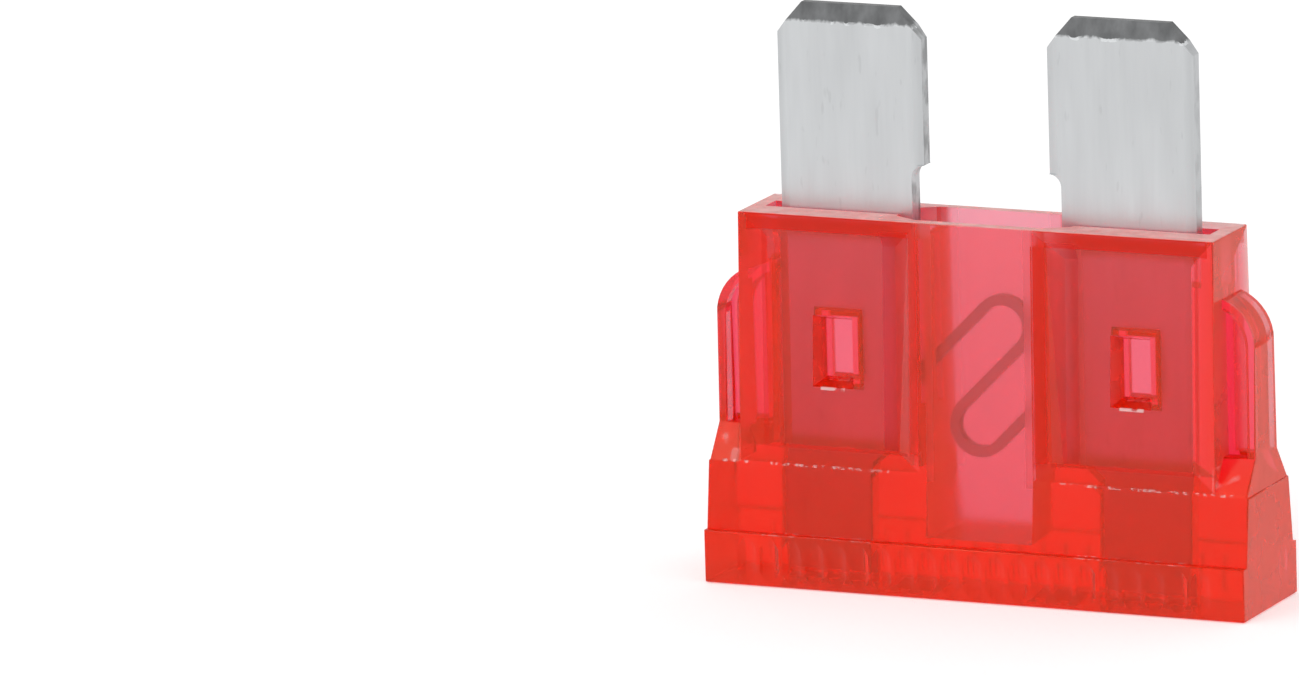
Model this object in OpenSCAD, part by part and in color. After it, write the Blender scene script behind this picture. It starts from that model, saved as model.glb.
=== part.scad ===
// Regular automotive blade fuse: one moulded transparent housing and one stamped element.
// Millimetres. The origin is the centre of the head's flat end, +Z points to the blade tips,
// X runs along the width, and the fuse stands on its head with the blades up.

/* [Blades] */
// Thickness of the stamped sheet
blade_t = 0.65; // [0.55:0.01:0.75]
// Width of each blade
blade_w = 5.03; // [4.8:0.01:5.3]
// Clear gap between the two blades
blade_gap = 4.36; // [4.2:0.02:4.6]
// Length of blade that stands out of the housing
blade_out = 6.72; // [5:0.01:8]
// Width of the chamfer on the two corners of each tip
tip_chamfer = 0.83; // [0.5:0.01:1.3]
// Height of that chamfer
tip_rise = 1; // [0.6:0.05:1.3]
// Height of the coined lead-in at each tip
tip_coin_h = 0.6; // [0.3:0.05:0.9]
// Metal taken off each face at the very tip
tip_coin_d = 0.18; // [0.1:0.01:0.22]
// Width of the coined flat along each long edge
edge_coin_w = 0.32; // [0.15:0.01:0.45]
// Metal taken off each face at the long edges
edge_coin_d = 0.09; // [0.04:0.01:0.15]
// Step in the inner edge of each blade
notch_w = 0.42; // [0.25:0.01:0.55]
// Height of that step above the housing
notch_up = 1.61; // [0.8:0.01:2.5]

/* [Test tabs] */
// Width of the tab under each blade
tab_w = 3; // [2.6:0.05:3.4]
// Step from the blade's outer edge to the tab's outer edge
tab_inset = 0.15; // [0.05:0.01:0.4]
// Slant at the tab's inner corner, where it leaves the blade
tab_slant = 0.45; // [0.2:0.01:0.6]
// Height of the blade's lower edge above the ledge
seat_up = 0.05; // [0.03:0.01:0.15]
// Depth of the tab's end below the head's flat end
tab_sunk = 0.4; // [0.2:0.05:0.9]

/* [Fuse link] */
// Width of the link strip
link_w = 0.34; // [0.2:0.01:0.45]
// Thickness of the link strip
link_t = 0.3; // [0.2:0.01:0.4]
// Height of the link's centre above the head's flat end
link_z = 7; // [6.6:0.01:7.4]
// Slope of the three strokes, in degrees
link_slope = 45; // [40:1:48]
// Distance between neighbouring strokes
link_pitch = 1.73; // [1.5:0.01:1.85]
// Length of the middle stroke between its two bends
link_stroke = 2.95; // [2.4:0.05:3.1]
// Side of the gusset where the link meets a blade
link_gusset = 0.42; // [0.3:0.01:0.55]

/* [Housing] */
// Height of the housing
housing_h = 12.15; // [11.8:0.05:13]
// Width of the head
head_w = 18.8; // [18.75:0.05:19.3]
// Depth of the grip band, the thickest part
head_d = 4.5; // [4.4:0.05:5]
// Height of the grip band
band_h = 1.72; // [1.5:0.01:1.9]
// Step from the grip band to the head above it
band_step = 0.3; // [0.2:0.01:0.4]
// Height of the ledge under the panels
ledge_z = 3.95; // [3.7:0.01:4.2]
// Width of the body
body_w = 16.5; // [16.35:0.05:17]
// Depth of the body at the blade side
body_d = 2.9; // [2.8:0.01:3.1]
// Growth of the body's depth down to the ledge, both faces together
body_draft = 0.54; // [0.3:0.01:0.6]
// Wall thickness round the middle pocket
wall = 0.4; // [0.35:0.01:0.5]
// Growth of that wall from the blade side down to the ledge
wall_growth = 0.1; // [0:0.01:0.2]
// Height of the middle pocket's floor
pocket_floor = 1.85; // [1.8:0.05:2.4]
// Half of the middle pocket's width
pocket_half = 1.85; // [1.75:0.01:1.95]
// Thickness of the two webs beside the middle pocket
web_t = 0.39; // [0.25:0.01:0.4]
// Height of the blade side above the webs' tops
web_sunk = 0.6; // [0.4:0.05:1]
// Width of the hollow between each web and its blade's slot
side_w = 0.8; // [0.6:0.05:0.9]
// Half of the hollow's depth beside the slot
side_out = 0.6; // [0.5:0.01:0.7]
// Air between the element and the moulding
fit = 0.09; // [0.05:0.01:0.1]
// Extra width of each blade slot at its mouth
mouth_w = 0.42; // [0.3:0.01:0.45]
// Depth of that wider mouth
mouth_h = 1.7; // [1:0.05:2]

/* [Panels] */
// Width of the sloping frame round each panel
frame_w = 0.95; // [0.6:0.01:1]
// Height of that frame under each panel
frame_low = 0.55; // [0.4:0.01:0.7]
// Depth of each panel below the body's face
panel_d = 0.5; // [0.4:0.01:0.52]
// Land between the pocket's wall line and the frame
panel_land = 0.15; // [0:0.01:0.2]
// Land between the frame and the ledge
ledge_land = 0.06; // [0.04:0.01:0.1]

/* [Staking] */
// Height of the staking windows above the head's flat end
stake_z = 7.65; // [7.2:0.05:8.2]
// Distance of the windows from the middle
stake_x = 5.18; // [4.9:0.01:5.3]
// Width of the hole in each blade
hole_w = 1.7; // [1.5:0.05:1.9]
// Height of the hole in each blade
hole_h = 2.65; // [2.4:0.05:2.9]
// Width of each pressed pocket at the surface
dent_w = 1.5; // [1.2:0.05:1.6]
// Height of each pressed pocket at the surface
dent_h = 2.45; // [2.1:0.05:2.6]
// Narrowing of each pressed pocket at its floor, on every side
dent_taper = 0.28; // [0.1:0.01:0.35]
// Thickness of the web left between two facing pockets
dent_web = 1; // [0.8:0.01:1.2]

/* [Ears] */
// Width over both ears
ear_w = 18.7; // [18.4:0.05:18.7]
// Height of the ears' tops
ear_top = 10.25; // [9.6:0.05:10.6]
// Radius of the ears' rounded tops
ear_r = 1.65; // [1.3:0.05:1.8]
// Thickness of an ear at its top
ear_t = 1.6; // [1.5:0.05:1.7]
// Thickness of an ear at its foot
ear_foot_t = 1.85; // [1.75:0.05:2.2]
// Height of the sloping shoulder under each ear
ear_foot_h = 1.1; // [0.6:0.05:1.2]
// Rim left round the hollow in each face of an ear
ear_rim = 0.3; // [0.25:0.01:0.4]
// Thickness of the plate inside that rim
ear_plate = 0.95; // [0.8:0.05:1.1]

/* [Grip flutes] */
// Number of flutes on each face
flutes = 21; // [16:1:22]
// Distance between neighbouring flutes
flute_pitch = 0.79; // [0.76:0.01:0.84]
// Radius of the round-bottomed flutes
flute_r = 0.6; // [0.5:0.01:0.64]
// Depth of the flutes
flute_d = 0.1; // [0.08:0.01:0.11]
// Flat left under and over the flutes
flute_end = 0.12; // [0.08:0.01:0.3]
// Height of each flute's pointed ends
flute_tip = 0.35; // [0.2:0.01:0.5]

/* [Hidden] */
$fn = 48;
// Overlap that makes cuts run clear of a face
over = 0.5;
// Places across the width, for the blade on the +X side
blade_in = blade_gap / 2;
blade_edge = blade_in + blade_w;
shank_in = blade_in + notch_w;
tab_out = blade_edge - tab_inset;
tab_in = tab_out - tab_w;
chamber_in = pocket_half + web_t;
side_end = chamber_in + side_w;
chamber_out = blade_edge + fit;
// Heights
tip_z = housing_h + blade_out;
notch_z = housing_h + notch_up;
seat_z = ledge_z + seat_up;
// Half depths of the moulding
half_band = head_d / 2;
half_head = half_band - band_step;
half_top = body_d / 2;
half_ledge = half_top + body_draft / 2;
// Half depth of the pocket and of the hollows beside the webs, at the blade side
side_in = half_top - wall;
draft_angle = atan((half_ledge - half_top) / (housing_h - ledge_z));
// The link's arm at the blade's edge, in the link's own tilted frame and then as a height
gusset_half = link_gusset / 2;
arm_start = (link_pitch * sin(link_slope) - shank_in - gusset_half) / cos(link_slope);
arm_z = link_z + link_pitch / cos(link_slope) - shank_in * tan(link_slope);
gusset_drop = 3 * gusset_half;
gusset_rise = 2 * gusset_half;

// Draws its children on the +X side and, turned half round, on the -X side
module both_sides() {
    children();
    mirror([1, 0, 0]) children();
}

// Draws its children on the front and on the back
module both_faces() {
    children();
    mirror([0, 1, 0]) children();
}

// Prism along X with a section given as [y, z] points
module along_x(from_x, to_x, section) {
    translate([from_x, 0, 0]) rotate([90, 0, 90])
        linear_extrude(height = to_x - from_x) polygon(section);
}

// Prism along Y, centred on the X-Z plane, with an outline given as [x, z] points
module along_y(depth, outline) {
    translate([0, depth / 2, 0]) rotate([90, 0, 0])
        linear_extrude(height = depth) polygon(outline);
}

// Prism along Z with a section given as [x, y] points
module along_z(from_z, to_z, section) {
    translate([0, 0, from_z]) linear_extrude(height = to_z - from_z) polygon(section);
}

// Outline of one blade with its shank and test tab
module blade_sheet() {
    along_y(blade_t, [
        [tab_out, tab_sunk], [tab_out, seat_z], [blade_edge, seat_z],
        [blade_edge, tip_z - tip_rise], [blade_edge - tip_chamfer, tip_z],
        [blade_in + tip_chamfer, tip_z], [blade_in, tip_z - tip_rise],
        [blade_in, notch_z], [shank_in, notch_z], [shank_in, seat_z],
        [tab_in - tab_slant, seat_z], [tab_in, seat_z - tab_slant], [tab_in, tab_sunk]]);
    // Round inner corner of the step
    difference() {
        translate([blade_in, -blade_t / 2, notch_z - notch_w])
            cube([notch_w + over, blade_t, notch_w + over]);
        translate([blade_in, 0, notch_z - notch_w]) rotate([90, 0, 0])
            cylinder(r = notch_w, h = blade_t + over, center = true);
    }
}

// Wedges that coin the tip and the long edges on the front face
module blade_coining() {
    half = blade_t / 2;
    along_x(blade_in - over, blade_edge + over, [
        [-half - over, tip_z + over], [-half - over, tip_z - tip_coin_h],
        [-half, tip_z - tip_coin_h], [-half + tip_coin_d, tip_z],
        [-half + tip_coin_d, tip_z + over]]);
    along_z(seat_z, tip_z + over, [
        [blade_edge - edge_coin_w, -half], [blade_edge, -half + edge_coin_d],
        [blade_edge + over, -half + edge_coin_d], [blade_edge + over, -half - over],
        [blade_edge - edge_coin_w, -half - over]]);
    along_z(notch_z, tip_z + over, [
        [blade_in + edge_coin_w, -half], [blade_in, -half + edge_coin_d],
        [blade_in - over, -half + edge_coin_d], [blade_in - over, -half - over],
        [blade_in + edge_coin_w, -half - over]]);
}

// One blade with its staking hole
module blade() {
    difference() {
        blade_sheet();
        both_faces() blade_coining();
        translate([stake_x - hole_w / 2, -blade_t, stake_z - hole_h / 2])
            cube([hole_w, 2 * blade_t, hole_h]);
    }
}

// Straight stroke of the link in its tilted frame
module stroke(from_s, to_s, n) {
    translate([from_s, -link_t / 2, n - link_w / 2])
        cube([to_s - from_s, link_t, link_w]);
}

// Half of the S: half the middle stroke, one bend, the arm to the blade on the -X side
module half_link() {
    bend_r = link_pitch / 2;
    translate([0, 0, link_z]) rotate([0, -link_slope, 0]) {
        stroke(-link_w / 2, link_stroke / 2, 0);
        stroke(arm_start, link_stroke / 2, link_pitch);
        translate([link_stroke / 2, 0, bend_r]) intersection() {
            rotate([90, 0, 0]) difference() {
                cylinder(r = bend_r + link_w / 2, h = link_t, center = true);
                cylinder(r = bend_r - link_w / 2, h = link_t + over, center = true);
            }
            translate([0, -link_t, -link_pitch])
                cube([link_pitch, 2 * link_t, 2 * link_pitch]);
        }
    }
    // Gusset at the blade's edge
    along_y(link_t, [
        [-shank_in - gusset_half, arm_z - gusset_drop], [-shank_in, arm_z - gusset_drop],
        [-shank_in + link_gusset, arm_z], [-shank_in + gusset_half, arm_z + gusset_half],
        [-shank_in, arm_z + gusset_rise], [-shank_in - gusset_half, arm_z + gusset_rise]]);
}

// The stamped element: both blades, both tabs and the S-shaped link
module element() {
    color([0.81, 0.82, 0.83]) union() {
        both_sides() blade();
        half_link();
        translate([0, 0, 2 * link_z]) rotate([0, 180, 0]) half_link();
    }
}

// Head with its grip band
module head() {
    translate([-head_w / 2, -half_band, 0]) cube([head_w, head_d, band_h]);
    along_x(-head_w / 2, head_w / 2, [
        [-half_head, band_h - over], [half_head, band_h - over], [half_head, band_h],
        [half_ledge, ledge_z], [-half_ledge, ledge_z], [-half_head, band_h]]);
}

// Tapering body between the ledge and the blade side
module body() {
    along_x(-body_w / 2, body_w / 2, [
        [-half_ledge, ledge_z - over / 2], [half_ledge, ledge_z - over / 2],
        [half_ledge, ledge_z], [half_top, housing_h], [-half_top, housing_h],
        [-half_ledge, ledge_z]]);
}

// Outline of an ear, cut back by a margin
module ear_outline(margin, depth, from_z) {
    round_z = ear_top - ear_r;
    inner_x = body_w / 2 - ear_r;
    translate([inner_x, -depth / 2, from_z])
        cube([ear_w / 2 - margin - inner_x, depth, round_z - from_z]);
    intersection() {
        translate([ear_w / 2 - ear_r, 0, round_z]) rotate([90, 0, 0])
            cylinder(r = ear_r - margin, h = depth, center = true);
        translate([inner_x, -depth / 2, round_z]) cube([ear_w, depth, ear_r]);
    }
}

// Ear on the +X end: a tapering plate with a rim and a sloping shoulder
module ear() {
    foot_z = ledge_z + ear_foot_h;
    difference() {
        intersection() {
            ear_outline(0, head_d, ledge_z - over / 2);
            along_x(0, ear_w, [
                [-half_ledge, ledge_z - over], [half_ledge, ledge_z - over],
                [half_ledge, ledge_z], [ear_foot_t / 2, foot_z], [ear_t / 2, ear_top],
                [-ear_t / 2, ear_top], [-ear_foot_t / 2, foot_z], [-half_ledge, ledge_z]]);
        }
        both_faces() intersection() {
            translate([body_w / 2, -head_d - ear_plate / 2, foot_z])
                cube([ear_w, head_d, ear_top]);
            ear_outline(ear_rim, head_d, foot_z);
        }
    }
}

// Cutter for one panel with a sloping frame on its four sides, front face, +X side
module panel_cut() {
    land_x = pocket_half + panel_land;
    end_x = body_w / 2;
    face_end = ledge_land - (housing_h - ledge_z) / cos(draft_angle);
    translate([0, -half_top, housing_h]) rotate([-draft_angle, 0, 0]) intersection() {
        along_z(face_end - over, over, [
            [land_x + frame_w, panel_d], [end_x - frame_w, panel_d],
            [end_x + frame_w, -panel_d], [land_x - frame_w, -panel_d]]);
        along_x(-over, body_w, [
            [panel_d, -frame_w], [panel_d, face_end + frame_low],
            [-panel_d, face_end - frame_low], [-panel_d, frame_w]]);
    }
}

// Air round one blade and its tab, open at the mouth and at the head's flat end,
// with the hollow beside the web
module chamber() {
    slot = blade_t + 2 * fit;
    translate([chamber_in, -slot / 2, seat_z])
        cube([chamber_out - chamber_in, slot, housing_h]);
    translate([chamber_in, -slot / 2, housing_h - mouth_h])
        cube([chamber_out + mouth_w - chamber_in, slot, mouth_h + over]);
    translate([tab_in - fit, -slot / 2, -over])
        cube([tab_w + 2 * fit, slot, seat_z + 2 * over]);
    along_z(ledge_z + frame_low, housing_h + over, [
        [chamber_in, side_in], [side_end, side_out],
        [side_end, -side_out], [chamber_in, -side_in]]);
    // Slant under the blade's inner corner
    along_y(slot, [
        [tab_in - tab_slant - 2 * fit, seat_z + over], [tab_in - tab_slant - 2 * fit, seat_z],
        [tab_in, seat_z - tab_slant - 2 * fit], [tab_in, seat_z + over]]);
}

// Pocket between the blades, open at the blade side
module middle_pocket() {
    low_wall = wall + wall_growth;
    floor_half = half_ledge + (half_head - half_ledge)
        * (ledge_z - pocket_floor) / (ledge_z - band_h) - low_wall;
    along_x(-pocket_half, pocket_half, [
        [-floor_half, pocket_floor], [floor_half, pocket_floor],
        [half_ledge - low_wall, ledge_z], [side_in, housing_h],
        [side_in, housing_h + over], [-side_in, housing_h + over],
        [-side_in, housing_h], [low_wall - half_ledge, ledge_z]]);
    // Opening over the two webs
    along_z(housing_h - web_sunk, housing_h + over, [
        [side_end, -side_out], [side_end, side_out], [chamber_in, side_in],
        [-chamber_in, side_in], [-side_end, side_out], [-side_end, -side_out],
        [-chamber_in, -side_in], [chamber_in, -side_in]]);
}

// Slit through both webs, where the link's arms slide in from the blade side
module link_slit() {
    slit = link_t + 2 * fit;
    stroke_low = link_z - (link_pitch + link_w / 2) / cos(link_slope)
        + pocket_half * tan(link_slope);
    gusset_low = 2 * link_z - arm_z - gusset_rise;
    arm_low = min(stroke_low, gusset_low) - fit;
    translate([-chamber_in - over, -slit / 2, arm_low])
        cube([2 * (chamber_in + over), slit, housing_h]);
}

// Plastic pressed through the hole in a blade
module stake() {
    plug_d = blade_t + 2 * fit + panel_d / 2;
    translate([stake_x - hole_w / 2 + fit, -plug_d / 2, stake_z - hole_h / 2 + fit])
        cube([hole_w - 2 * fit, plug_d, hole_h - 2 * fit]);
}

// Tapering pocket that the staking tool leaves in the front face
module dent() {
    surface = half_ledge - panel_d;
    half_web = dent_web / 2;
    beyond = dent_taper * over / (surface - half_web);
    half_w = dent_w / 2;
    half_h = dent_h / 2;
    translate([stake_x, 0, stake_z]) intersection() {
        along_z(-dent_h, dent_h, [
            [-half_w + dent_taper, -half_web], [half_w - dent_taper, -half_web],
            [half_w + beyond, -surface - over], [-half_w - beyond, -surface - over]]);
        along_x(-dent_w, dent_w, [
            [-half_web, -half_h + dent_taper], [-half_web, half_h - dent_taper],
            [-surface - over, half_h + beyond], [-surface - over, -half_h - beyond]]);
    }
}

// Row of closed, round-bottomed flutes with pointed ends in the grip band's front
module flute_row() {
    start = -flute_pitch * (flutes - 1) / 2;
    straight = band_h - 2 * flute_end - 2 * flute_tip;
    cone = flute_tip * flute_r / flute_d;
    for (i = [0 : flutes - 1])
        translate([start + i * flute_pitch, -half_band - flute_r + flute_d, flute_end + flute_tip]) {
            cylinder(r = flute_r, h = straight);
            translate([0, 0, straight]) cylinder(r1 = flute_r, r2 = 0, h = cone);
            translate([0, 0, -cone]) cylinder(r1 = 0, r2 = flute_r, h = cone);
        }
}

// The moulded housing
module housing() {
    color([0.93, 0.16, 0.14, 0.6]) difference() {
        union() {
            difference() {
                union() {
                    head();
                    body();
                    both_sides() ear();
                }
                both_sides() both_faces() panel_cut();
                both_sides() chamber();
                middle_pocket();
                link_slit();
            }
            both_sides() stake();
        }
        both_sides() both_faces() dent();
        both_faces() flute_row();
    }
}

housing();
element();
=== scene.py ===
import math
import bmesh
import bpy
from mathutils import Matrix, Vector


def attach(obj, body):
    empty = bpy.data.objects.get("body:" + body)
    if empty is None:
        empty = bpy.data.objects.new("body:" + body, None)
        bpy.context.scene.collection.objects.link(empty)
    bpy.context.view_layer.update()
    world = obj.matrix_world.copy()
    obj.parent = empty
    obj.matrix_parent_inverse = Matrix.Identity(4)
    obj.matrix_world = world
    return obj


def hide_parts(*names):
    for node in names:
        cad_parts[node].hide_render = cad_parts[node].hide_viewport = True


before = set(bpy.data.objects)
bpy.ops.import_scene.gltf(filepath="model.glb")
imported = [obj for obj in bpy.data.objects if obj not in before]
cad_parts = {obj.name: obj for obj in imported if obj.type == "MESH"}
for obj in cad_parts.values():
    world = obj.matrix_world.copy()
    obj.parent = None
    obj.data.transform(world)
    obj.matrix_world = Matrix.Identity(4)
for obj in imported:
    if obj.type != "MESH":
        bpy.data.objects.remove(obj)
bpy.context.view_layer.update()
mm = 0.001
print("frame loaded:", sorted(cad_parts))

nodeSpacing = (190, 260)    # between the columns and the rows of a node tree


def newMaterial(name):
    mat = bpy.data.materials.new(name)
    mat.use_nodes = True
    mat.node_tree.nodes.clear()
    return mat, mat.node_tree


def addNode(tree, kind, **values):
    node = tree.nodes.new(kind)
    for key, value in values.items():
        setattr(node, key, value)
    return node


# a socket takes a plain value or what another node puts out
def feed(tree, socket, value):
    if isinstance(value, bpy.types.NodeSocket):
        tree.links.new(value, socket)
    else:
        socket.default_value = value


def calc(tree, operation, *terms):
    node = addNode(tree, "ShaderNodeMath", operation=operation)
    for socket, term in zip(node.inputs, terms):
        feed(tree, socket, term)
    return node.outputs[0]


def times(tree, result, *others):
    for other in others:
        result = calc(tree, "MULTIPLY", result, other)
    return result


def largest(tree, result, *others):
    for other in others:
        result = calc(tree, "MAXIMUM", result, other)
    return result


# straight change of a value from one pair of bounds to another, clamped
def ramp(tree, value, bounds, results=(0, 1)):
    node = addNode(tree, "ShaderNodeMapRange")
    for name, number in zip(("From Min", "From Max", "To Min", "To Max"), (*bounds, *results)):
        node.inputs[name].default_value = number
    tree.links.new(value, node.inputs["Value"])
    return node.outputs[0]


# a number between two others, by a share
def blend(tree, share, first, second):
    node = addNode(tree, "ShaderNodeMix")
    for index, value in ((0, share), (2, first), (3, second)):
        feed(tree, node.inputs[index], value)
    return node.outputs[0]


def axes(tree, vector):
    node = addNode(tree, "ShaderNodeSeparateXYZ")
    tree.links.new(vector, node.inputs[0])
    return node.outputs


# where the shaded point lies and which way it faces; the fuse is alike left and right, so finishes go by
# the distance from its middle
def readPoint(tree):
    coords = addNode(tree, "ShaderNodeTexCoord").outputs
    place = axes(tree, coords["Object"])
    facing = axes(tree, coords["Normal"])
    return {
        "place": coords["Object"],
        "across": calc(tree, "ABSOLUTE", place[0]),
        "y": place[1],
        "height": place[2],
        "endward": calc(tree, "ABSOLUTE", facing[0]),
        "upward": facing[2],
    }


# 1 where a value lies within reach of a centre
def near(tree, value, centre, reach):
    return calc(tree, "COMPARE", value, centre, reach)


# 1 inside a band of heights and a band of distances from the middle, each a centre and a reach
def patch(tree, point, heights, widths):
    return times(tree, near(tree, point["height"], *heights), near(tree, point["across"], *widths))


# a noise stretched by frequencies per metre along x, y and z
def streaks(tree, point, frequencies, detail):
    stretch = addNode(tree, "ShaderNodeMapping")
    stretch.inputs["Scale"].default_value = frequencies
    tree.links.new(point["place"], stretch.inputs["Vector"])
    noise = addNode(tree, "ShaderNodeTexNoise")
    noise.inputs["Scale"].default_value = 1
    noise.inputs["Detail"].default_value = detail
    tree.links.new(stretch.outputs[0], noise.inputs["Vector"])
    return noise.outputs[0]


def bumpFrom(tree, height, strength, distance):
    bump = addNode(tree, "ShaderNodeBump")
    bump.inputs["Strength"].default_value = strength
    bump.inputs["Distance"].default_value = distance
    tree.links.new(height, bump.inputs["Height"])
    return bump.outputs[0]


def dullCoat(tree, colour):
    coat = addNode(tree, "ShaderNodeBsdfDiffuse")
    coat.inputs["Color"].default_value = colour
    return coat.outputs[0]


def mixShaders(tree, share, under, over):
    mix = addNode(tree, "ShaderNodeMixShader")
    feed(tree, mix.inputs[0], share)
    tree.links.new(under, mix.inputs[1])
    tree.links.new(over, mix.inputs[2])
    return mix.outputs[0]


# each node stands left of all that it feeds
def layOut(tree):
    columns = {node.name: 0 for node in tree.nodes}
    moved = True
    while moved:
        moved = False
        for link in tree.links:
            column = columns[link.to_node.name] + 1
            if columns[link.from_node.name] < column:
                columns[link.from_node.name] = column
                moved = True
    filled = {}
    for node in tree.nodes:
        column = columns[node.name]
        row = filled.get(column, 0)
        filled[column] = row + 1
        node.location = (-nodeSpacing[0] * column, -nodeSpacing[1] * row)


def finishMaterial(tree, surface, volume=None):
    out = addNode(tree, "ShaderNodeOutputMaterial")
    tree.links.new(surface, out.inputs["Surface"])
    if volume is not None:
        tree.links.new(volume, out.inputs["Volume"])
    layOut(tree)


# the camera, solved from the corners of the moulding and the blades
view = {
    "azimuth": 24.86,    # degrees, as the next two
    "elevation": 12.46,
    "roll": -1.72,
    "distance": 469.5 * mm,
    "target": Vector((-12.16, 0, 7.36)) * mm,
    "focalPixels": 14494,    # the lens's focal length in pixels of the photo
    "photoWidth": 1299,
    "sensorWidth": 36,
    "clip": (0.01, 20),
}


def makeCamera():
    azimuth, elevation, roll = (math.radians(view[name]) for name in ("azimuth", "elevation", "roll"))
    level = Vector((-math.sin(azimuth), math.cos(azimuth), 0))
    ahead = level * math.cos(elevation) - Vector((0, 0, math.sin(elevation)))
    side = Vector((math.cos(azimuth), math.sin(azimuth), 0))
    up = side.cross(ahead)
    right = side * math.cos(roll) + up * math.sin(roll)
    top = up * math.cos(roll) - side * math.sin(roll)
    data = bpy.data.cameras.new("camera")
    data.sensor_width = view["sensorWidth"]
    data.lens = view["focalPixels"] * view["sensorWidth"] / view["photoWidth"]
    data.clip_start, data.clip_end = view["clip"]
    camera = bpy.data.objects.new("camera", data)
    bpy.context.collection.objects.link(camera)
    turn = Matrix((right, top, -ahead)).transposed()
    camera.matrix_world = Matrix.Translation(view["target"] - ahead * view["distance"]) @ turn.to_4x4()
    bpy.context.scene.camera = camera


makeCamera()
print("camera placed")

studio = {
    "floorColour": (0.9, 0.9, 0.9, 1),
    "floorGlow": 0.36,
    "floorHalf": 3,    # half the floor's side
    "floorHeight": -0.03 * mm,    # just below the head's end, so that this end still reflects the inside
    "footprint": (9.4 * mm, 2.25 * mm),    # half the ground that the fuse covers, where no backdrop shows
    "backdrop": 1,    # the world as the camera, reflections and the inside of the plastic see it
    "worldLight": 0.91,    # the world as dull surfaces see it
    "keyPower": 0.35,
    "keySize": (0.22, 0.16),
    "keyPlace": (-0.19, -0.36, 0.37),
    "bounces": {"all": 40, "glossy": 32, "diffuse": 16, "through": 32},    # thick clear plastic needs many
}


def makeWorld():
    world = bpy.data.worlds.new("studio")
    world.use_nodes = True
    tree = world.node_tree
    tree.nodes.clear()
    ray = addNode(tree, "ShaderNodeLightPath").outputs
    seen = largest(tree, ray["Is Camera Ray"], ray["Is Glossy Ray"], ray["Is Transmission Ray"])
    back = addNode(tree, "ShaderNodeBackground")
    tree.links.new(blend(tree, seen, studio["worldLight"], studio["backdrop"]), back.inputs["Strength"])
    out = addNode(tree, "ShaderNodeOutputWorld")
    tree.links.new(back.outputs[0], out.inputs["Surface"])
    layOut(tree)
    bpy.context.scene.world = world


# reflections and the inside of the plastic see a white backdrop in the floor, but none under the fuse
def makeFloorPaint():
    mat, tree = newMaterial("paleFloor")
    ray = addNode(tree, "ShaderNodeLightPath").outputs
    place = axes(tree, addNode(tree, "ShaderNodeTexCoord").outputs["Object"])
    halfX, halfY = studio["footprint"]
    covered = times(tree, near(tree, place[0], 0, halfX), near(tree, place[1], 0, halfY))
    through = largest(tree, ray["Is Glossy Ray"], ray["Is Transmission Ray"])
    through = times(tree, through, calc(tree, "SUBTRACT", 1, covered))
    glow = addNode(tree, "ShaderNodeEmission")
    tree.links.new(times(tree, ray["Is Camera Ray"], studio["floorGlow"]), glow.inputs["Strength"])
    lit = addNode(tree, "ShaderNodeAddShader")
    tree.links.new(dullCoat(tree, studio["floorColour"]), lit.inputs[0])
    tree.links.new(glow.outputs[0], lit.inputs[1])
    white = addNode(tree, "ShaderNodeEmission")
    finishMaterial(tree, mixShaders(tree, through, lit.outputs[0], white.outputs[0]))
    return mat


def makeFloor():
    bm = bmesh.new()
    bmesh.ops.create_grid(bm, x_segments=1, y_segments=1, size=studio["floorHalf"])
    mesh = bpy.data.meshes.new("floor")
    bm.to_mesh(mesh)
    bm.free()
    floor = bpy.data.objects.new("floor", mesh)
    floor.location.z = studio["floorHeight"]
    bpy.context.collection.objects.link(floor)
    mesh.materials.append(makeFloorPaint())


def makeKey():
    light = bpy.data.lights.new("key", "AREA")
    light.shape = "RECTANGLE"
    light.size, light.size_y = studio["keySize"]
    light.energy = studio["keyPower"]
    key = bpy.data.objects.new("key", light)
    bpy.context.collection.objects.link(key)
    place = Vector(studio["keyPlace"])
    key.matrix_world = Matrix.Translation(place) @ (-place).to_track_quat("-Z", "Y").to_matrix().to_4x4()


def makeStudio():
    scene = bpy.context.scene
    scene.view_settings.view_transform = "Standard"
    scene.cycles.max_bounces = studio["bounces"]["all"]
    scene.cycles.glossy_bounces = studio["bounces"]["glossy"]
    scene.cycles.diffuse_bounces = studio["bounces"]["diffuse"]
    scene.cycles.transmission_bounces = studio["bounces"]["through"]
    scene.cycles.blur_glossy = 0    # the blur would dim the inside of the plastic
    makeWorld()
    makeFloor()
    makeKey()


makeStudio()
print("studio lit")

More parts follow.
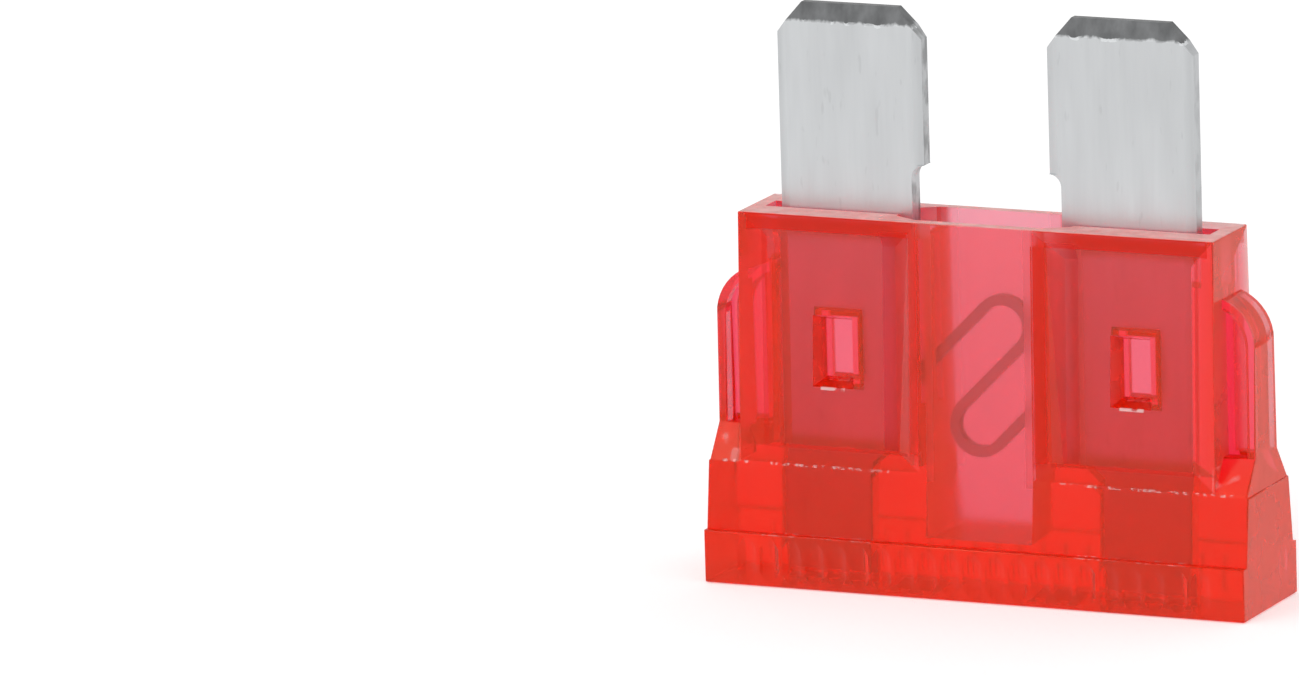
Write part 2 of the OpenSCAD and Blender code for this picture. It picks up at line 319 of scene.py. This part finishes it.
# the moulding: clear red plastic that colours light by how much of it is crossed.
# A patch is a band of heights and a band of distances from the middle, each a centre and a reach.
# A noise is its frequencies per metre and its detail, and a ramp is two bounds and what they become.
redPlastic = {
    "ior": 1.58,
    "absorb": (3, 1690, 1220),    # per metre, for red, green and blue
    "absorbMargin": 1.02,    # the density over the largest of these, so that no colour is 0
    "specularTint": (1, 0.75, 0.5, 1),
    "hazeColour": (1, 0.095, 0.01, 1),
    "haze": 0.17,
    "rippleNoise": ((900, 900, 900), 2),
    "ripple": (0.06, 0.03 * mm),    # strength and distance of the bump
    "headToBody": ((3.6 * mm, 4.3 * mm), (0.2, 0.12)),    # roughness, over the heights where it changes
    "handlingNoise": ((700, 700, 700), 3),
    "handling": ((0.35, 0.65), (0.85, 1.15)),
    "wallAcross": (2.5 * mm, 0.9 * mm),    # the drawn walls beside the link's opening
    "wallOut": (0, 1.25 * mm),
    "wallDull": 0.45,
    "frameShadeColour": (0.9, 0.022, 0.008, 1),    # painted shade: the bevels round the panels, painted deepest in colour where thick plastic shades them
    "frameShadeShare": 0.6,
    "frameOut": 1 * mm,
    "frameTop": 12.15 * mm,
    "rimHeight": (11.53 * mm, 11.59 * mm),
    "rimAcross": (5.1 * mm, 2.9 * mm),
    "jambAcross": 2.2 * mm,
    "jamb": ((0.16 * mm, 0.26 * mm), (0.8, 0)),
    "edgeAcross": (7.5 * mm, 0.07 * mm),
    "edgeShare": 0.6,
    "sideHeight": (4.3 * mm, 4.6 * mm),
    "panelFoot": ((4.48 * mm, 0.05 * mm), (5 * mm, 2.5 * mm)),
    "panelFootShare": 0.5,
    "endSheenColour": (1, 0.2, 0.15, 1),    # painted sheen: a paler red on the two narrow end faces, where they catch the light
    "endSheenFacing": ((0.6, 0.85), (0, 0.32)),
    "glintAndSheenColour": (1, 0.72, 0.7, 1),    # painted glints on pale specks and lumpy patches, and a painted paler sheen on the blade-side end
    "glintShare": 0.75,
    "glintOut": 1.62 * mm,
    "glintFacing": 0.9,    # none on level faces
    "ledge": ((3.97 * mm, 0.045 * mm), (5.9 * mm, 3 * mm)),
    "bandTop": ((1.72 * mm, 0.03 * mm), (5.45 * mm, 1.9 * mm)),
    "bandTopShare": 0.5,
    "speckNoise": ((6200, 2500, 6000), 2),
    "specks": ((0.5, 0.68), (0, 0.8)),
    "sills": ((6.42 * mm, 0.05 * mm), (5.2 * mm, 0.42 * mm)),
    "sillSpecks": ((0.38, 0.5), (0, 1)),
    "earFeet": ((4.4 * mm, 0.45 * mm), (8.65 * mm, 0.5 * mm)),
    "lumpGlintNoise": ((1700, 1700, 1700), 1),
    "lumpGlints": ((0.57, 0.68), (0, 0.32)),
    "bladeEndHeight": 12 * mm,
    "bladeEndFacing": (0.5, 0.8),
    "paleNoise": ((1500, 1500, 1500), 3),
    "pale": ((0.3, 0.7), (0.375, 0.625)),
}


# painted glints: pale specks where the mould's rough flash catches the light along the ledge, the band's top
# over the tabs and
#  the windows' sills, pale blotches painted as glints on the lumpy feet of the ears, and a painted paler,
#  duller blade-side end
def glintAndSheenMask(tree, point, out):
    ledge = patch(tree, point, *redPlastic["ledge"])
    bandTop = times(tree, patch(tree, point, *redPlastic["bandTop"]), redPlastic["bandTopShare"])
    outside = calc(tree, "GREATER_THAN", out, redPlastic["glintOut"])
    upright = calc(tree, "LESS_THAN", point["upward"], redPlastic["glintFacing"])
    grain = streaks(tree, point, *redPlastic["speckNoise"])
    specks = ramp(tree, grain, *redPlastic["specks"])
    lines = times(tree, largest(tree, ledge, bandTop), outside, upright, specks)
    sills = times(tree, patch(tree, point, *redPlastic["sills"]),
                  ramp(tree, grain, *redPlastic["sillSpecks"]))
    lumpGlints = ramp(tree, streaks(tree, point, *redPlastic["lumpGlintNoise"]), *redPlastic["lumpGlints"])
    feet = times(tree, patch(tree, point, *redPlastic["earFeet"]), lumpGlints)
    paintedLight = times(tree, largest(tree, lines, sills, feet), redPlastic["glintShare"])
    # painted sheen: the upward-facing blade-side end is made paler and partly dull, patchy by noise
    high = calc(tree, "GREATER_THAN", point["height"], redPlastic["bladeEndHeight"])
    pale = ramp(tree, streaks(tree, point, *redPlastic["paleNoise"]), *redPlastic["pale"])
    bladeEnd = times(tree, ramp(tree, point["upward"], redPlastic["bladeEndFacing"]), high, pale)
    return largest(tree, paintedLight, bladeEnd)


# painted shade on the frame of each panel: rim above, jambs and edges beside, foot below, painted deep dark
# red
def frameShadeMask(tree, point, out):
    outside = calc(tree, "GREATER_THAN", out, redPlastic["frameOut"])
    below = calc(tree, "LESS_THAN", point["height"], redPlastic["frameTop"])
    rim = times(tree, ramp(tree, point["height"], redPlastic["rimHeight"]),
                near(tree, point["across"], *redPlastic["rimAcross"]))
    fromJamb = calc(tree, "ABSOLUTE", calc(tree, "SUBTRACT", point["across"], redPlastic["jambAcross"]))
    jamb = ramp(tree, fromJamb, *redPlastic["jamb"])
    edge = times(tree, near(tree, point["across"], *redPlastic["edgeAcross"]), redPlastic["edgeShare"])
    sides = times(tree, largest(tree, jamb, edge), ramp(tree, point["height"], redPlastic["sideHeight"]))
    foot = times(tree, patch(tree, point, *redPlastic["panelFoot"]), redPlastic["panelFootShare"])
    return times(tree, largest(tree, rim, sides, foot), outside, below, redPlastic["frameShadeShare"])


def makePlastic():
    mat, tree = newMaterial("clearRedPlastic")
    point = readPoint(tree)
    out = calc(tree, "ABSOLUTE", point["y"])
    handling = ramp(tree, streaks(tree, point, *redPlastic["handlingNoise"]), *redPlastic["handling"])
    dull = times(tree, ramp(tree, point["height"], *redPlastic["headToBody"]), handling)
    walls = times(tree, near(tree, point["across"], *redPlastic["wallAcross"]),
                  near(tree, out, *redPlastic["wallOut"]), redPlastic["wallDull"])
    shader = addNode(tree, "ShaderNodeBsdfPrincipled")
    shader.inputs["Transmission Weight"].default_value = 1
    shader.inputs["IOR"].default_value = redPlastic["ior"]
    shader.inputs["Base Color"].default_value = (1, 1, 1, 1)
    shader.inputs["Specular Tint"].default_value = redPlastic["specularTint"]
    tree.links.new(calc(tree, "ADD", dull, walls), shader.inputs["Roughness"])
    ripple = streaks(tree, point, *redPlastic["rippleNoise"])
    tree.links.new(bumpFrom(tree, ripple, *redPlastic["ripple"]), shader.inputs["Normal"])
    haze = dullCoat(tree, redPlastic["hazeColour"])
    surface = mixShaders(tree, redPlastic["haze"], shader.outputs[0], haze)
    # painted shade in deep dark red over each panel's frame
    frameShade = frameShadeMask(tree, point, out)
    surface = mixShaders(tree, frameShade, surface, dullCoat(tree, redPlastic["frameShadeColour"]))
    # painted sheen on the two narrow end faces, patchy by the handling noise
    endSheen = times(tree, ramp(tree, point["endward"], *redPlastic["endSheenFacing"]), handling)
    surface = mixShaders(tree, endSheen, surface, dullCoat(tree, redPlastic["endSheenColour"]))
    # painted glints and a painted sheen, in pale pink
    paintedLight = glintAndSheenMask(tree, point, out)
    surface = mixShaders(tree, paintedLight, surface, dullCoat(tree, redPlastic["glintAndSheenColour"]))
    density = max(redPlastic["absorb"]) * redPlastic["absorbMargin"]
    volume = addNode(tree, "ShaderNodeVolumeAbsorption")
    volume.inputs["Color"].default_value = (*(1 - share / density for share in redPlastic["absorb"]), 1)
    volume.inputs["Density"].default_value = density
    finishMaterial(tree, surface, volume.outputs[0])
    return mat


# the stamping: pale zinc alloy, dull on its faces, dark where it was coined and sheared
zinc = {
    "colour": (0.685, 0.7, 0.712),
    "lineNoise": ((6500, 6500, 420), 3),    # faint drawing lines along the blades
    "lineTone": ((0.3, 0.75), (1.004, 0.992)),
    "lineRoughness": ((0.3, 0.7), (0.37, 0.47)),
    "lineBump": (0.08, 0.01 * mm),    # strength and distance
    "smudgeNoise": ((900, 900, 220), 2),
    "smudgeTone": ((0.35, 0.7), (1.02, 0.95)),
    "tickNoise": ((5200, 5200, 1300), 1),
    "tickTone": ((0.69, 0.77), (1, 0.93)),
    "bladeMiddle": 4.7 * mm,
    "marginShadeTone": ((2.2 * mm, 2.4 * mm), (1, 0.93)),    # painted shade on each rolled margin, by distance from a blade's middle
    "mottleNoise": ((2600, 2600, 1500), 3),
    "tear": ((0.3, 0.7), (-0.09 * mm, 0.09 * mm)),    # how far the coined edge wanders up and down
    "coinHeight": (18.23 * mm, 18.32 * mm),
    "coinTone": ((0.3, 0.7), (0.3375, 0.216)),
    "lipHeight": (18.29 * mm, 0.05 * mm),
    "lipShare": ((0.5, 0.62), (0, 0.9)),
    "lipTone": 1.25,
    "shearFacing": (0.5, 0.8),
    "shearMottle": ((0.4, 0.6), (0.3, 1)),
    "shearAcross": ((4 * mm, 6 * mm), (1, 0.35)),    # fainter on the outer sides
    "shearTone": 0.5,
    "linkHalf": 2.595 * mm,    # the link lies within this of the middle
    "linkTop": 10 * mm,
    "linkShadeTone": 0.8,
}


# a tone darkened to a share of itself where a mask is 1
def shade(tree, tone, mask, share):
    lost = times(tree, mask, 1 - share)
    return times(tree, tone, calc(tree, "SUBTRACT", 1, lost))


def makeMetal():
    mat, tree = newMaterial("pressedZinc")
    point = readPoint(tree)
    lines = streaks(tree, point, *zinc["lineNoise"])
    mottle = streaks(tree, point, *zinc["mottleNoise"])
    # the faces: drawing lines, wider smudges, short ticks, and painted shade on each rolled margin
    smudges = ramp(tree, streaks(tree, point, *zinc["smudgeNoise"]), *zinc["smudgeTone"])
    ticks = ramp(tree, streaks(tree, point, *zinc["tickNoise"]), *zinc["tickTone"])
    fromMiddle = calc(tree, "ABSOLUTE", calc(tree, "SUBTRACT", point["across"], zinc["bladeMiddle"]))
    marginShade = ramp(tree, fromMiddle, *zinc["marginShadeTone"])
    tone = times(tree, ramp(tree, lines, *zinc["lineTone"]), smudges, ticks, marginShade)
    # the sheared sides, darker in patches
    sides = times(tree, ramp(tree, point["endward"], zinc["shearFacing"]),
                  ramp(tree, mottle, *zinc["shearMottle"]),
                  ramp(tree, point["across"], *zinc["shearAcross"]))
    tone = shade(tree, tone, sides, zinc["shearTone"])
    # painted shade: the thin link is painted darker than the blades
    link = times(tree, calc(tree, "LESS_THAN", point["across"], zinc["linkHalf"]),
                 calc(tree, "LESS_THAN", point["height"], zinc["linkTop"]))
    tone = shade(tree, tone, link, zinc["linkShadeTone"])
    # the coined lead-in, with a torn lower edge and a bright lip along it
    height = calc(tree, "ADD", point["height"], ramp(tree, mottle, *zinc["tear"]))
    coined = ramp(tree, height, zinc["coinHeight"])
    tone = blend(tree, coined, tone, ramp(tree, mottle, *zinc["coinTone"]))
    lip = times(tree, near(tree, height, *zinc["lipHeight"]), ramp(tree, mottle, *zinc["lipShare"]))
    tone = blend(tree, lip, tone, zinc["lipTone"])

    colour = addNode(tree, "ShaderNodeVectorMath", operation="SCALE")
    colour.inputs[0].default_value = zinc["colour"]
    tree.links.new(tone, colour.inputs["Scale"])
    shader = addNode(tree, "ShaderNodeBsdfPrincipled")
    shader.inputs["Metallic"].default_value = 1
    tree.links.new(colour.outputs[0], shader.inputs["Base Color"])
    tree.links.new(ramp(tree, lines, *zinc["lineRoughness"]), shader.inputs["Roughness"])
    tree.links.new(bumpFrom(tree, lines, *zinc["lineBump"]), shader.inputs["Normal"])
    finishMaterial(tree, shader.outputs[0])
    return mat


def dressElement(mat):
    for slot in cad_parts["element"].material_slots:
        slot.material = mat


# the moulding is shown with the small radius that its mould leaves on every outer edge
moulding = {
    "edgeRadius": 0.05 * mm,
    "segments": 2,
    "sharpAngle": math.radians(50),    # edges that turn more are rounded
    "shortestEdge": 0.3 * mm,
    "outsideX": 8 * mm,    # only edges beyond these are outer ones
    "outsideY": 1.15 * mm,
    "mergeDistance": 0.001 * mm,
    "flatAngle": math.radians(0.5),    # facets that turn less are one flat face
    "curveAngle": math.radians(12),    # small facets that turn less than this are one curve
    "largestCurved": 0.4 * mm * mm,
    "creaseAngle": math.radians(46),
    "mostCorners": 4,    # faces with more are cut into triangles
}


def makeMoulding(mat):
    bm = bmesh.new()
    bm.from_mesh(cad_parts["housing"].data)
    bmesh.ops.remove_doubles(bm, verts=bm.verts, dist=moulding["mergeDistance"])
    bmesh.ops.dissolve_limit(bm, angle_limit=moulding["flatAngle"], verts=bm.verts, edges=bm.edges,
                             use_dissolve_boundaries=False, delimit={"NORMAL"})
    bm.normal_update()
    edges = []
    for edge in bm.edges:
        if not edge.is_manifold or edge.calc_length() < moulding["shortestEdge"]:
            continue
        middle = (edge.verts[0].co + edge.verts[1].co) / 2
        outside = abs(middle.y) > moulding["outsideY"] or abs(middle.x) > moulding["outsideX"]
        if outside and edge.calc_face_angle_signed() > moulding["sharpAngle"]:
            edges.append(edge)
    rounded = bmesh.ops.bevel(bm, geom=edges, offset=moulding["edgeRadius"], offset_type="OFFSET",
                              segments=moulding["segments"], profile=0.5, affect="EDGES", material=-1,
                              clamp_overlap=False)
    bm.normal_update()
    # rounded edges and small curved facets are shaded smooth, flat faces stay flat
    for face in bm.faces:
        angles = [edge.calc_face_angle(0) for edge in face.edges]
        curved = any(moulding["flatAngle"] < angle < moulding["curveAngle"] for angle in angles)
        face.smooth = curved and face.calc_area() < moulding["largestCurved"]
    for face in rounded["faces"]:
        face.smooth = True
    bmesh.ops.triangulate(bm, faces=[face for face in bm.faces if len(face.verts) > moulding["mostCorners"]])
    smooth = [face.smooth for face in bm.faces]
    mesh = bpy.data.meshes.new("moulding")
    bm.to_mesh(mesh)
    bm.free()
    mesh.set_sharp_from_angle(angle=moulding["creaseAngle"])
    mesh.polygons.foreach_set("use_smooth", smooth)    # the line above made every face smooth
    piece = bpy.data.objects.new("moulding", mesh)
    bpy.context.collection.objects.link(piece)
    mesh.materials.append(mat)
    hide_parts("housing")
    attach(piece, "root")
    print("moulding:", len(mesh.polygons), "faces,", len(edges), "edges rounded")


makeMoulding(makePlastic())
dressElement(makeMetal())
print("element dressed")
